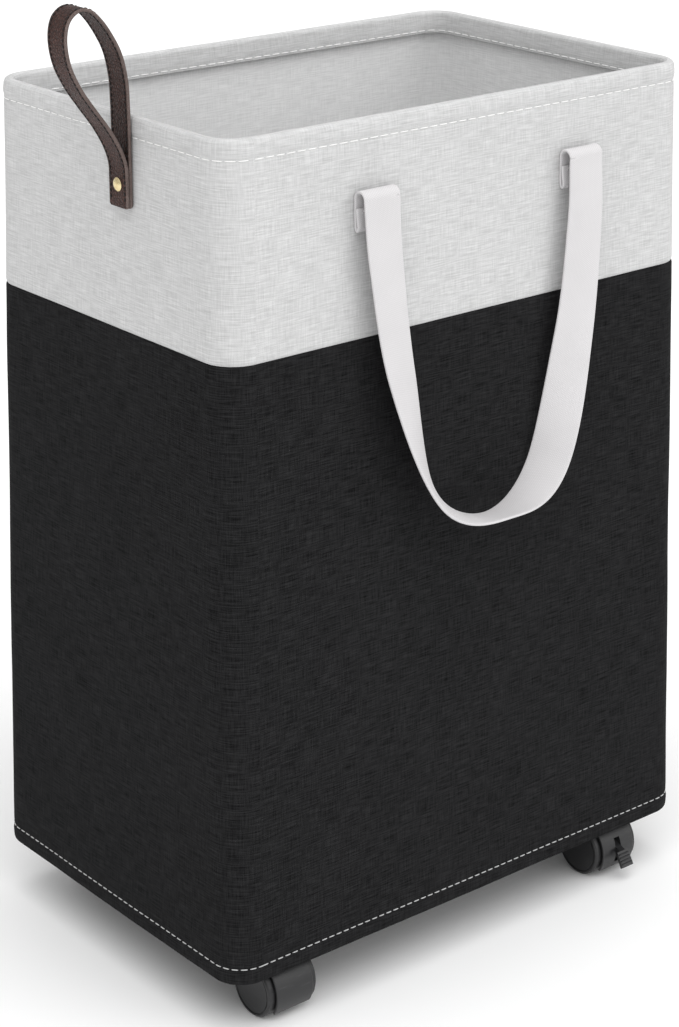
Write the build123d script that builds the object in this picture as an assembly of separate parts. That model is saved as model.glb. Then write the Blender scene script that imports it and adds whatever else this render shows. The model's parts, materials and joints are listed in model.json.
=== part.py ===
from build123d import *
import math
import os

# Rolling fabric laundry hamper. Millimetres, +Z up, front wall on -Y.
# The origin is on the floor, under the middle of the fabric body.

# ---- driving dimensions -------------------------------------------------
WHEEL_RADIUS = 22.0
UNDERSIDE = 48.0            # floor to the underside of the fabric body
BODY_HEIGHT = 624.0         # underside to the crest of the rim
WIDTH_BOTTOM, WIDTH_TOP = 460.0, 436.0
DEPTH_BOTTOM, DEPTH_TOP = 314.0, 284.0
CORNER_RADIUS = 25.0
SEAM_HEIGHT = 469.0         # underside to the seam between the two fabrics

FABRIC = 1.2                # outer fabric thickness
BOARD = 3.0                 # stiffener thickness
LINING = 1.0
RIM_WIDTH, RIM_HEIGHT = 8.0, 9.0
HEM_DEPTH = 22.0            # how far the rim fabric comes down inside
HOOP_WIRE = 5.0
BASE_BOARD = 6.0
PAD_SIZE = (420.0, 262.0, 6.0)

WEBBING_WIDTH, WEBBING = 32.0, 2.0
WEBBING_SPACING = 194.0     # centre to centre of one handle's two ends
WEBBING_CENTRE = 3.5        # the front handle's middle, right of the wall's middle
WEBBING_AXIS = 570.0        # underside to the fold the handle swings on
FOLD_RADIUS = 5.2           # middle of the webbing in the fold
TAB_DROP = 24.0             # fold to the lower end of a sewn tab
SEWN_GAP = 0.02             # sewn tab to wall, so that their faces don't cross

LEATHER_WIDTH, LEATHER = 22.0, 2.6
LEATHER_Y = -29.0
LEATHER_GAP = 0.7           # wall to the leather, at the rivet
RIVET_HEIGHT = 576.0        # underside to the rivet
LEATHER_TAIL = 16.0         # rivet to the strap's lower ends

CASTER_X, CASTER_Y = 169.0, 111.0
TRAIL = 14.0                # swivel axis to axle
CASTER_WIDTH = 45.0
HOOD_WIDTH = 34.0
WEB_WIDTH = 12.0
AXLE_RADIUS = 2.5
STEM_RADIUS = 3.5
RUNNING = 0.05              # radial clearance of a turning fit
GAP = 0.3                   # space between pieces that move past each other

RIM = UNDERSIDE + BODY_HEIGHT
SEAM = UNDERSIDE + SEAM_HEIGHT
BASE_TOP = UNDERSIDE + FABRIC + BASE_BOARD
LINING_FACE = FABRIC + BOARD + LINING       # inset of the wall's inner face
BEAD_BOTTOM = RIM - RIM_HEIGHT
HOOP_Z = RIM - FABRIC - 0.2 - HOOP_WIRE / 2


def export(name, shape):
    export_step(shape, f"parts/{name}.step")


# ---- fabric body --------------------------------------------------------
def width_at(z):
    return WIDTH_BOTTOM + (WIDTH_TOP - WIDTH_BOTTOM) * (z - UNDERSIDE) / BODY_HEIGHT


def depth_at(z):
    return DEPTH_BOTTOM + (DEPTH_TOP - DEPTH_BOTTOM) * (z - UNDERSIDE) / BODY_HEIGHT


def outline(z, inset):
    return Pos(0, 0, z) * RectangleRounded(
        width_at(z) - 2 * inset, depth_at(z) - 2 * inset, CORNER_RADIUS - inset
    )


def block(low, high, inset):
    """Everything inside the tapered body, a little way in from its outer face."""
    return loft([outline(low, inset), outline(high, inset)], ruled=True)


def wall(low, high, outer, inner):
    """A closed band of the wall between two insets."""
    return block(low, high, outer) - block(low - 1, high + 1, inner)


def hoop_path(z, inset):
    return outline(z, inset).face().outer_wire()


def make_hoop():
    path = hoop_path(HOOP_Z, RIM_WIDTH / 2)
    section = Plane(origin=path @ 0, z_dir=path % 0) * Circle(HOOP_WIRE / 2)
    return sweep(section, path)


def make_ferrule():
    """Crimped sleeve over the joint in the hoop, in the middle of the back."""
    y = depth_at(HOOP_Z) / 2 - RIM_WIDTH / 2
    sleeve = Cylinder(HOOP_WIRE / 2 + 0.7, 30, rotation=(0, 90, 0))
    sleeve -= Cylinder(HOOP_WIRE / 2, 31, rotation=(0, 90, 0))
    return Pos(0, y, HOOP_Z) * sleeve


def make_upper_fabric(hoop, ferrule):
    """Light fabric: outside band, rolled rim over the hoop, hem inside."""
    bead = wall(BEAD_BOTTOM, RIM, 0, RIM_WIDTH)
    top_edges = bead.edges().filter_by_position(Axis.Z, RIM - 0.01, RIM + 0.01)
    bead = fillet(top_edges, RIM_WIDTH / 2 - 0.3)
    band = wall(SEAM, BEAD_BOTTOM, 0, FABRIC)
    hem = wall(RIM - HEM_DEPTH, BEAD_BOTTOM, LINING_FACE, LINING_FACE + FABRIC)
    return (bead + band + hem) - hoop - ferrule


def make_lining():
    bag = wall(BASE_TOP, BEAD_BOTTOM, FABRIC + BOARD, LINING_FACE)
    floor = block(BASE_TOP, BASE_TOP + LINING, LINING_FACE)
    return bag + floor


STIFFENER_X = WIDTH_TOP / 2 - CORNER_RADIUS
STIFFENER_Y = DEPTH_TOP / 2 - CORNER_RADIUS


def make_stiffeners():
    """Four flat boards and the four bent corner strips between them."""
    ring = wall(BASE_TOP, BEAD_BOTTOM, FABRIC, FABRIC + BOARD)
    middle = (BASE_TOP + BEAD_BOTTOM) / 2
    reach, tall = 200.0, BODY_HEIGHT + 20
    across = Box(2 * STIFFENER_X, reach, tall)
    along = Box(reach, 2 * STIFFENER_Y, tall)
    corner = Box(reach, reach, tall)
    cutters = {
        "front_board": (0, -STIFFENER_Y - reach / 2, across),
        "back_board": (0, STIFFENER_Y + reach / 2, across),
        "left_board": (-STIFFENER_X - reach / 2, 0, along),
        "right_board": (STIFFENER_X + reach / 2, 0, along),
    }
    for side_y, depth_name in ((-1, "front"), (1, "back")):
        for side_x, width_name in ((-1, "left"), (1, "right")):
            x = side_x * (STIFFENER_X + reach / 2)
            y = side_y * (STIFFENER_Y + reach / 2)
            cutters[f"{depth_name}_{width_name}_corner_foam"] = (x, y, corner)
    return {
        name: ring & (Pos(x, y, middle) * cutter)
        for name, (x, y, cutter) in cutters.items()
    }


STEM_SPOTS = {
    "front_left": (-CASTER_X, -CASTER_Y),
    "front_right": (CASTER_X, -CASTER_Y),
    "back_left": (-CASTER_X, CASTER_Y),
    "back_right": (CASTER_X, CASTER_Y),
}
THREAD_RADIUS = 3.0
TEE_BARREL, TEE_FLANGE, TEE_FLANGE_THICK = 4.2, 9.0, 1.0


def standing(radius, low, high):
    """A vertical cylinder on the Z axis."""
    return Pos(0, 0, (low + high) / 2) * Cylinder(radius, high - low)


def make_tee_nut():
    flange = standing(TEE_FLANGE, BASE_TOP - TEE_FLANGE_THICK, BASE_TOP)
    barrel = standing(TEE_BARREL, UNDERSIDE + FABRIC, BASE_TOP)
    return flange + barrel - standing(THREAD_RADIUS, UNDERSIDE, RIM)


def make_base_board():
    board = block(UNDERSIDE + FABRIC, BASE_TOP, FABRIC)
    for x, y in STEM_SPOTS.values():
        board -= Pos(x, y, 0) * standing(TEE_BARREL, 0, RIM)
        board -= Pos(x, y, 0) * standing(TEE_FLANGE, BASE_TOP - TEE_FLANGE_THICK, RIM)
    return board


def make_bottom_panel():
    panel = block(UNDERSIDE, UNDERSIDE + FABRIC, FABRIC)
    for x, y in STEM_SPOTS.values():
        panel -= Pos(x, y, 0) * standing(THREAD_RADIUS, 0, RIM)
    return panel


# ---- webbing handles ----------------------------------------------------
FOLD_Z = UNDERSIDE + WEBBING_AXIS
FOLD_Y = -(depth_at(FOLD_Z) / 2 + GAP + WEBBING / 2 + FOLD_RADIUS)
TAB_BOTTOM = FOLD_Z - TAB_DROP
TAB_TOP = FOLD_Z - FOLD_RADIUS - WEBBING
LOOP_STATIONS = 40
WEBBING_ENDS = {
    "left": WEBBING_CENTRE - WEBBING_SPACING / 2,
    "right": WEBBING_CENTRE + WEBBING_SPACING / 2,
}

# The hanging loop, from its middle outwards to one fold: how far it stands
# sideways from the middle, how far below the fold, how far it has turned from
# flat against the wall to on edge, and how far its middle is off the wall.
LOOP_SHAPE = [
    (0.0, 251.0, 101.0, 24.0),
    (53.0, 227.0, 62.0, 19.0),
    (83.0, 132.0, 18.0, 15.5),
    (95.0, 48.0, 5.0, 13.5),
    (WEBBING_SPACING / 2, 0.0, 0.0, GAP + WEBBING / 2 + 2 * FOLD_RADIUS),
]


def smooth(column, t, mirror=1):
    """Catmull-Rom value of one column of LOOP_SHAPE at t from 0 to 1.

    mirror is -1 for a column that changes sign across the middle.
    """
    values = [row[column] for row in LOOP_SHAPE]
    last = len(values) - 1
    i = min(int(t * last), last - 1)
    f = t * last - i
    here, there = values[i], values[i + 1]
    before = mirror * there if i == 0 else values[i - 1]
    after = values[i + 2] if i + 2 <= last else 2 * there - here
    return 0.5 * (
        2 * here
        + (there - before) * f
        + (2 * before - 5 * here + 4 * there - after) * f ** 2
        + (3 * here - before - 3 * there + after) * f ** 3
    )


def loop_middle(t):
    """Middle of the webbing; t runs from -1 at the left fold to 1 at the right."""
    x = smooth(0, abs(t), mirror=-1)
    z = FOLD_Z - smooth(1, abs(t))
    y = -depth_at(z) / 2 - smooth(3, abs(t))
    return Vector(WEBBING_CENTRE + math.copysign(x, t), y, z)


def loop_frame(t):
    """Plane square to the webbing, with its x along the webbing's width."""
    step = 0.01
    start, end = max(t - step, -1), min(t + step, 1)
    run = (loop_middle(end) - loop_middle(start)).normalized()
    run = Vector(run.X, 0, run.Z).normalized()
    turn = math.radians(smooth(2, abs(t)))
    outward = Vector(run.Z, 0, -run.X)
    width = outward * math.cos(turn) + Vector(0, -math.sin(turn), 0)
    return Plane(origin=loop_middle(t), x_dir=width, z_dir=run)


def make_front_webbing():
    """The free part of the handle: a hanging loop with a fold at each end."""
    section = Rectangle(WEBBING_WIDTH, WEBBING)
    steps = [2 * i / LOOP_STATIONS - 1 for i in range(LOOP_STATIONS + 1)]
    loop = loft([loop_frame(t) * section for t in steps], ruled=True)
    for x in WEBBING_ENDS.values():
        fold = Cylinder(FOLD_RADIUS + WEBBING / 2, WEBBING_WIDTH)
        fold -= Cylinder(FOLD_RADIUS - WEBBING / 2, WEBBING_WIDTH)
        fold &= Pos(0, FOLD_RADIUS, 0) * Box(30, 2 * FOLD_RADIUS, WEBBING_WIDTH)
        loop += Plane(origin=(x, FOLD_Y, FOLD_Z), x_dir=(0, 1, 0), z_dir=(1, 0, 0)) * fold
    return loop


def make_tab(x):
    """The sewn end: two layers of webbing flat on the wall under the fold."""
    thick = 2 * WEBBING
    height = TAB_TOP - TAB_BOTTOM
    z = (TAB_TOP + TAB_BOTTOM) / 2
    lean = math.degrees(math.atan((DEPTH_BOTTOM - DEPTH_TOP) / 2 / BODY_HEIGHT))
    plate = Rot(X=-lean) * Box(WEBBING_WIDTH, thick, height)
    return Pos(x, -depth_at(z) / 2 - thick / 2 - SEWN_GAP, z) * plate


# ---- leather handle -----------------------------------------------------
RIVET_Z = UNDERSIDE + RIVET_HEIGHT
WALL_X = -width_at(RIVET_Z) / 2
LEATHER_END = RIVET_Z - LEATHER_TAIL
LAYER_GAP = 0.2             # between the two layers under the rivet
BACK_LAYER = LEATHER_GAP + LEATHER / 2
FRONT_LAYER = BACK_LAYER + LEATHER + LAYER_GAP
LEATHER_STACK = FRONT_LAYER + LEATHER / 2 + GAP     # wall to the rivet's cap
RIVET_POST = 2.0
CAP_RADIUS, CAP_HEIGHT = 4.9, 1.9
BURR = 0.8

# The loop in side view, from the front layer round to the back one: how far
# each bend is off the wall, how far above the rivet, and its radius.
LEATHER_BENDS = [
    (FRONT_LAYER, 21.5, 34.0),
    (52.5, 89.0, 50.0),
    (52.5, 125.5, 15.5),
    (27.0, 126.0, 13.0),
    (4.0, 87.0, 60.0),
    (BACK_LAYER, 62.0, 90.0),
]


def make_leather_handle():
    """A strap doubled into an upright loop, both ends under one rivet."""
    bends = [(off, RIVET_Z + up) for off, up, radius in LEATHER_BENDS]
    route = [(FRONT_LAYER, LEATHER_END), *bends, (BACK_LAYER, LEATHER_END)]
    corners = [(WALL_X - off, LEATHER_Y, z) for off, z in route]
    path = FilletPolyline(*corners, radius=[radius for off, up, radius in LEATHER_BENDS])
    section = Plane(origin=path @ 0, x_dir=(0, 1, 0), z_dir=path % 0)
    strap = sweep(section * Rectangle(LEATHER_WIDTH, LEATHER), path)
    hole = Cylinder(RIVET_POST + RUNNING, 40, rotation=(0, 90, 0))
    return strap - Pos(WALL_X, LEATHER_Y, RIVET_Z) * hole


def make_rivet():
    """Domed cap outside and the post behind it, through leather and wall."""
    radius = (CAP_RADIUS ** 2 + CAP_HEIGHT ** 2) / (2 * CAP_HEIGHT)
    dome = Pos(0, 0, CAP_HEIGHT - radius) * Sphere(radius)
    dome &= Pos(0, 0, radius) * Box(4 * radius, 4 * radius, 2 * radius)
    reach = LEATHER_STACK + LINING_FACE + BURR
    post = Pos(0, 0, -reach / 2) * Cylinder(RIVET_POST, reach)
    seat = Plane(
        origin=(WALL_X - LEATHER_STACK, LEATHER_Y, RIVET_Z),
        x_dir=(0, 1, 0),
        z_dir=(-1, 0, 0),
    )
    return seat * (dome + post)


def make_rivet_burr():
    """Disc that the post is set over, inside the hamper."""
    disc = Cylinder(CAP_RADIUS, BURR, rotation=(0, 90, 0))
    disc -= Cylinder(RIVET_POST, 2 * BURR, rotation=(0, 90, 0))
    return Pos(WALL_X + LINING_FACE + 0.2 + BURR / 2, LEATHER_Y, RIVET_Z) * disc


# ---- casters ------------------------------------------------------------
# A caster is drawn with its axle along Y at the origin and trailing to +X;
# its swivel stem stands at -TRAIL. caster_at moves it into place.
HOOD_RADIUS, HOOD_INNER = 25.0, 23.2
HOOD_ANGLES = (-35, 20, 75, 130)
COLLAR_TOP = UNDERSIDE - WHEEL_RADIUS
COLLAR_RADIUS, COLLAR_THICK = 8.0, 2.3
BARREL_RADIUS = 6.0
BARREL_LOW = -6.0
TREAD_INNER = 19.0
WHEEL_INNER_FACE = WEB_WIDTH / 2 + 0.8
WHEEL_OUTER_FACE = CASTER_WIDTH / 2
AXLE_HALF = 19.6
HUB_RADIUS = 5.5
PIN_X, PIN_Z, PIN_RADIUS = 13.0, 6.0, 1.2
LEVER_WIDTH, PEDAL_WIDTH = 5.6, 12.0
TRAIL_ANGLE = {"front_left": -90, "front_right": -90, "back_left": 0, "back_right": 0}
BRAKED = ("front_right", "back_right")


def caster_at(name):
    x, y = STEM_SPOTS[name]
    return Pos(x, y, WHEEL_RADIUS) * Rot(Z=TRAIL_ANGLE[name]) * Pos(TRAIL, 0, 0)


def side_view(sketch, thick):
    """Extrude a sketch drawn in the XZ side view, evenly about the middle."""
    return extrude(Plane.XZ * sketch, thick / 2, both=True)


def make_stem():
    collar_low = COLLAR_TOP - COLLAR_THICK
    stem = standing(STEM_RADIUS, BARREL_LOW + 2.5, collar_low)
    stem += standing(COLLAR_RADIUS, collar_low, COLLAR_TOP)
    stem += standing(THREAD_RADIUS, COLLAR_TOP, BASE_TOP - WHEEL_RADIUS)
    return Pos(-TRAIL, 0, 0) * stem


def make_hood(braked):
    """Cover over both wheels, the middle web and the barrel for the stem."""
    fan = Polygon(
        (0, 0),
        *[(60 * math.cos(math.radians(a)), 60 * math.sin(math.radians(a))) for a in HOOD_ANGLES],
        align=None,
    )
    cover = side_view((Circle(HOOD_RADIUS) - Circle(HOOD_INNER)) & fan, HOOD_WIDTH)
    round_edges = cover.edges().filter_by(GeomType.CIRCLE).sort_by(lambda e: e.radius)[-2:]
    cover = fillet(round_edges, 0.7)
    barrel_top = COLLAR_TOP - COLLAR_THICK - GAP
    barrel_tall = barrel_top - BARREL_LOW
    neck = Pos(-TRAIL / 2, BARREL_LOW + 7) * Rectangle(TRAIL, 14)
    web = side_view((Circle(HOOD_INNER + 0.5) & fan) + neck + Circle(8), WEB_WIDTH)
    barrel = Pos(-TRAIL, 0, BARREL_LOW + barrel_tall / 2) * Cylinder(BARREL_RADIUS, barrel_tall)
    bore = Pos(-TRAIL, 0, 0) * standing(STEM_RADIUS + RUNNING, BARREL_LOW + 2, barrel_top)
    hood = cover + web + barrel - bore
    hood -= Cylinder(AXLE_RADIUS, WEB_WIDTH + 1, rotation=(90, 0, 0))
    hood -= Pos(-TRAIL, 0, 0) * standing(COLLAR_RADIUS + GAP, barrel_top, COLLAR_TOP)
    if braked:
        window = Rot(Y=-22) * Pos(HOOD_RADIUS, 0, 0) * Box(8, 6, 6)
        slot_sketch = Polygon((8, 2), (8, 11), (20, 11), (30, 5), (30, -9), (20, -9), align=None)
        hood = hood - window - side_view(slot_sketch, LEVER_WIDTH + 2 * GAP)
        hood -= Pos(PIN_X, 0, PIN_Z) * Cylinder(PIN_RADIUS, HOOD_WIDTH, rotation=(90, 0, 0))
    return hood


def make_wheel(side):
    """Hollow plastic wheel with a closed outer face, for side -1 or +1."""
    inner, outer = WHEEL_INNER_FACE, WHEEL_OUTER_FACE
    face = outer - 2.4
    profile = Polygon(
        (0, face + 0.3),
        (AXLE_RADIUS + RUNNING, face + 0.3),
        (AXLE_RADIUS + RUNNING, inner),
        (HUB_RADIUS, inner),
        (HUB_RADIUS, face),
        (TREAD_INNER, face),
        (TREAD_INNER, inner),
        (WHEEL_RADIUS - 0.8, inner),
        (WHEEL_RADIUS, inner + 0.8),
        (WHEEL_RADIUS, outer - 1.2),
        (WHEEL_RADIUS - 1.2, outer),
        (WHEEL_RADIUS - 2.4, outer),
        (WHEEL_RADIUS - 2.6, outer - 0.7),
        (WHEEL_RADIUS - 3.2, outer - 0.7),
        (WHEEL_RADIUS - 3.4, outer - 0.2),
        (0, outer - 0.2),
        align=None,
    )
    wheel = revolve(Plane.XY * profile, Axis.Y)
    return wheel if side > 0 else mirror(wheel, Plane.XZ)


def make_axle():
    return Cylinder(AXLE_RADIUS, 2 * AXLE_HALF, rotation=(90, 0, 0))


def make_brake_pin():
    return Pos(PIN_X, 0, PIN_Z) * Cylinder(PIN_RADIUS, WEB_WIDTH, rotation=(90, 0, 0))


def make_brake_lever():
    """Foot pedal on an arm that swings on the pin inside the hood."""
    arm_sketch = Polygon((11, 3), (12, 9), (15, 9), (29.6, 3), (27.8, 0), (17, 1.5), align=None)
    arm = side_view(arm_sketch, LEVER_WIDTH)
    pedal_sketch = Polygon((27.8, 0.5), (29.6, 3.0), (36.6, -8.4), (34.2, -10.0), align=None)
    pedal = side_view(pedal_sketch, PEDAL_WIDTH)
    lever = arm + pedal
    for i in range(4):
        along = 0.2 + 0.2 * i
        x, z = 29.6 + 7.0 * along, 3.0 - 11.4 * along
        lever += Pos(x, 0, z) * Box(1.2, PEDAL_WIDTH - 1.6, 1.2)
    return lever - Pos(PIN_X, 0, PIN_Z) * Cylinder(
        PIN_RADIUS + RUNNING, HOOD_WIDTH, rotation=(90, 0, 0)
    )


# ---- write every piece --------------------------------------------------
def main():
    os.makedirs("parts", exist_ok=True)
    hoop = make_hoop()
    ferrule = make_ferrule()
    rivet = make_rivet()
    nodes = {
        "upper_fabric": make_upper_fabric(hoop, ferrule) - rivet,
        "lower_fabric": wall(UNDERSIDE, SEAM, 0, FABRIC),
        "bottom_panel": make_bottom_panel(),
        "lining": make_lining() - rivet,
        "rim_hoop": hoop,
        "hoop_ferrule": ferrule,
        "base_board": make_base_board(),
        "leather_rivet": rivet,
        "rivet_burr": make_rivet_burr(),
        "leather_handle": make_leather_handle(),
    }
    nodes.update(make_stiffeners())
    nodes["left_board"] -= rivet

    pad_width, pad_depth, pad_thick = PAD_SIZE
    pad_z = BASE_TOP + LINING + GAP + pad_thick / 2
    pad = extrude(RectangleRounded(pad_width, pad_depth, 18), pad_thick / 2, both=True)
    nodes["floor_pad"] = Pos(0, 0, pad_z) * pad

    webbing = make_front_webbing()
    nodes["front_webbing"] = webbing
    nodes["back_webbing"] = Rot(Z=180) * webbing
    for side, x in WEBBING_ENDS.items():
        opposite = "right" if side == "left" else "left"
        nodes[f"front_{side}_webbing_tab"] = make_tab(x)
        nodes[f"back_{opposite}_webbing_tab"] = Rot(Z=180) * make_tab(x)

    tee_nuts = [Pos(x, y, 0) * make_tee_nut() for x, y in STEM_SPOTS.values()]
    nodes["caster_tee_nuts"] = Compound(children=tee_nuts)

    for name in STEM_SPOTS:
        place = caster_at(name)
        braked = name in BRAKED
        nodes[f"{name}_caster_stem"] = place * make_stem()
        nodes[f"{name}_caster_hood"] = place * make_hood(braked)
        nodes[f"{name}_caster_axle"] = place * make_axle()
        nodes[f"{name}_wheel_a"] = place * make_wheel(-1)
        nodes[f"{name}_wheel_b"] = place * make_wheel(1)
        if braked:
            nodes[f"{name}_brake_pin"] = place * make_brake_pin()
            nodes[f"{name}_brake_lever"] = place * make_brake_lever()

    for name, shape in nodes.items():
        export(name, shape)


main()
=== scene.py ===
import json
import math

import bpy
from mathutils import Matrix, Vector, geometry, noise


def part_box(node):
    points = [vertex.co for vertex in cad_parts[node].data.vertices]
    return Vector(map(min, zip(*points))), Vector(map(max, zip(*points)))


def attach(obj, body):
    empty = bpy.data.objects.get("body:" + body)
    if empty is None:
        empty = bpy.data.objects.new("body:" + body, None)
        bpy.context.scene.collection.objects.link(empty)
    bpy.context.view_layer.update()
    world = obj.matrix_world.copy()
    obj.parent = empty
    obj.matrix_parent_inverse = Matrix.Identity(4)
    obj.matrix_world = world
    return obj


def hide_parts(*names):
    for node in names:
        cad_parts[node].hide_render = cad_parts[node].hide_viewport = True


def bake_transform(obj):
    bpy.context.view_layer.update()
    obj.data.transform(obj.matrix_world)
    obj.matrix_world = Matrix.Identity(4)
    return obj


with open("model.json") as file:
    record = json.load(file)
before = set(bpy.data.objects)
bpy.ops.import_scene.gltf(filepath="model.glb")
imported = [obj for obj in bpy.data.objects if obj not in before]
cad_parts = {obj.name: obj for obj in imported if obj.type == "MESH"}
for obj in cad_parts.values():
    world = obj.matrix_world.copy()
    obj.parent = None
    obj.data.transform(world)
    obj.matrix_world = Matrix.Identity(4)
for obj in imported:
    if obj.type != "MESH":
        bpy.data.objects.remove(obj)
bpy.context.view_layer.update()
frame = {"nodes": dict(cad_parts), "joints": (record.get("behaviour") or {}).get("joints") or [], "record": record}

MM = 0.001


# ---- sizes read from the frame ------------------------------------------
def corners(node):
    low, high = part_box(node)
    return Vector(low), Vector(high)


LOWER_LOW, LOWER_HIGH = corners("lower_fabric")
UPPER_LOW, UPPER_HIGH = corners("upper_fabric")
PAD_LOW, PAD_HIGH = corners("floor_pad")
UNDERSIDE, SEAM, RIM = LOWER_LOW.z, LOWER_HIGH.z, UPPER_HIGH.z
FLOOR_INSIDE = corners("base_board")[1].z + 1.0 * MM      # on the lining over the base board
CORNER_RADIUS = 25 * MM
LINING_INSET = 5.2 * MM
RIM_WIDTH = 8 * MM


def pivot(joint):
    """Where a joint's axis stands, as the frame's record gives it."""
    return next(Vector(row["pos_m"]) for row in frame["joints"] if row["name"] == joint)


def size_at(z, axis):
    """Outside width (axis 0) or depth (axis 1) of the tapered body at a height."""
    bottom = LOWER_HIGH[axis] - LOWER_LOW[axis]
    at_seam = UPPER_HIGH[axis] - UPPER_LOW[axis]
    return bottom + (at_seam - bottom) * (z - UNDERSIDE) / (SEAM - UNDERSIDE)


# ---- materials ----------------------------------------------------------
class Shader:
    """A material with one Principled shader, and short calls that add nodes to it."""

    def __init__(self, name, **sockets):
        self.material = bpy.data.materials.new(name)
        self.material.use_nodes = True
        self.tree = self.material.node_tree
        self.surface = self.tree.nodes["Principled BSDF"]
        for socket, value in sockets.items():
            self.surface.inputs[socket.replace("_", " ")].default_value = value

    def node(self, kind, inputs=(), **settings):
        made = self.tree.nodes.new(kind)
        for setting, value in settings.items():
            setattr(made, setting, value)
        for i, value in enumerate(inputs):
            self.give(made.inputs[i], value)
        return made

    def give(self, socket, value):
        if isinstance(value, bpy.types.NodeSocket):
            self.tree.links.new(value, socket)
        elif value is not None:
            socket.default_value = value

    def math(self, operation, a, b=0.0):
        return self.node("ShaderNodeMath", (a, b), operation=operation).outputs[0]

    def scaled(self, vector, scale):
        made = self.node("ShaderNodeVectorMath", (vector, scale), operation="MULTIPLY")
        return made.outputs[0]

    def uv(self):
        return self.node("ShaderNodeUVMap", uv_map="metres").outputs[0]

    def place(self):
        return self.node("ShaderNodeTexCoord").outputs["Object"]

    def noise(self, vector, scale, detail=2.0, rough=0.5):
        made = self.node("ShaderNodeTexNoise")
        self.give(made.inputs["Vector"], vector)
        made.inputs["Scale"].default_value = scale
        made.inputs["Detail"].default_value = detail
        made.inputs["Roughness"].default_value = rough
        return made.outputs[0]

    def span(self, value, low, high, to_low=0.0, to_high=1.0):
        return self.node(
            "ShaderNodeMapRange", (value, low, high, to_low, to_high)
        ).outputs[0]

    def mix(self, factor, a, b):
        made = self.node("ShaderNodeMix", data_type="RGBA")
        self.give(made.inputs[0], factor)
        self.give(made.inputs[6], a)
        self.give(made.inputs[7], b)
        return made.outputs[2]

    def finish(self, colour, roughness, height, depth, strength=1.0):
        bump = self.node("ShaderNodeBump")
        bump.inputs["Strength"].default_value = strength
        bump.inputs["Distance"].default_value = depth
        self.give(bump.inputs["Height"], height)
        self.give(self.surface.inputs["Base Color"], colour)
        self.give(self.surface.inputs["Roughness"], roughness)
        self.give(self.surface.inputs["Normal"], bump.outputs[0])
        return self.material


def rgb(red, green, blue):
    return (red, green, blue, 1.0)


def woven(name, dark, light, pitch, slub, sheen, gloss=0.25):
    """Heathered cloth: a plain weave with long thin slubs along both threads."""
    s = Shader(name, Sheen_Weight=sheen, Sheen_Roughness=0.6, Specular_IOR_Level=gloss)
    uv = s.uv()
    weft_slubs = s.noise(s.scaled(uv, (55.0, 1100.0, 1.0)), 1.0, 3.0, 0.6)
    warp_slubs = s.noise(s.scaled(uv, (1100.0, 70.0, 1.0)), 1.0, 3.0, 0.6)
    patches = s.noise(uv, 14.0, 2.0)
    parts = s.node("ShaderNodeSeparateXYZ", (uv,))
    turns = 2 * math.pi / pitch
    warp = s.math("SINE", s.math("MULTIPLY", parts.outputs[0], turns))
    weft = s.math("SINE", s.math("MULTIPLY", parts.outputs[1], turns))
    threads = s.math("MULTIPLY", warp, weft)
    slubs = s.math("ADD", s.math("MULTIPLY", weft_slubs, 0.62), s.math("MULTIPLY", warp_slubs, 0.38))
    tone = s.math("ADD", s.span(slubs, 0.36, 0.64), s.math("MULTIPLY", patches, 0.2))
    # Painted shade: the weave relief (threads) also makes the colour a little darker where the weave sits low; the
    # slubs and patches are the cloth's own heathered tone.
    tone = s.math("ADD", s.math("MULTIPLY", tone, slub), s.math("MULTIPLY", threads, 0.06))
    colour = s.mix(s.span(tone, 0.0, 1.0), dark, light)
    height = s.math("ADD", s.math("MULTIPLY", threads, 0.35), slubs)
    rough = s.span(weft_slubs, 0.3, 0.7, 0.78, 0.92)
    return s.finish(colour, rough, height, 0.25 * MM, 0.55)


def webbing_cloth():
    """Cotton webbing: ribs across the strap, offset in neighbouring columns."""
    s = Shader("webbing", Sheen_Weight=0.05, Sheen_Roughness=0.5, Specular_IOR_Level=0.25)
    uv = s.uv()
    parts = s.node("ShaderNodeSeparateXYZ", (uv,))
    columns = s.math("SINE", s.math("MULTIPLY", parts.outputs[0], 2 * math.pi / (2.4 * MM)))
    shift = s.math("MULTIPLY", s.math("SIGN", columns), math.pi / 2)
    ribs = s.math("MULTIPLY", parts.outputs[1], 2 * math.pi / (1.5 * MM))
    ribs = s.math("SINE", s.math("ADD", ribs, shift))
    valley = s.math("ABSOLUTE", columns)
    fibres = s.noise(s.scaled(uv, (900.0, 2600.0, 1.0)), 1.0, 2.0)
    stain = s.noise(uv, 25.0, 2.0)
    height = s.math("ADD", s.math("MULTIPLY", ribs, 0.5), s.math("MULTIPLY", valley, 0.6))
    height = s.math("ADD", height, s.math("MULTIPLY", fibres, 0.5))
    # Painted shade: the colour follows the rib and column relief and is darker in the grooves; the random fibre
    # tone and the stains are the webbing's own.
    tone = s.span(s.math("ADD", height, stain), -0.2, 1.9)
    colour = s.mix(tone, rgb(0.50, 0.49, 0.495), rgb(0.66, 0.647, 0.655))
    return s.finish(colour, s.span(fibres, 0.2, 0.8, 0.75, 0.9), height, 0.15 * MM, 0.35)


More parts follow.
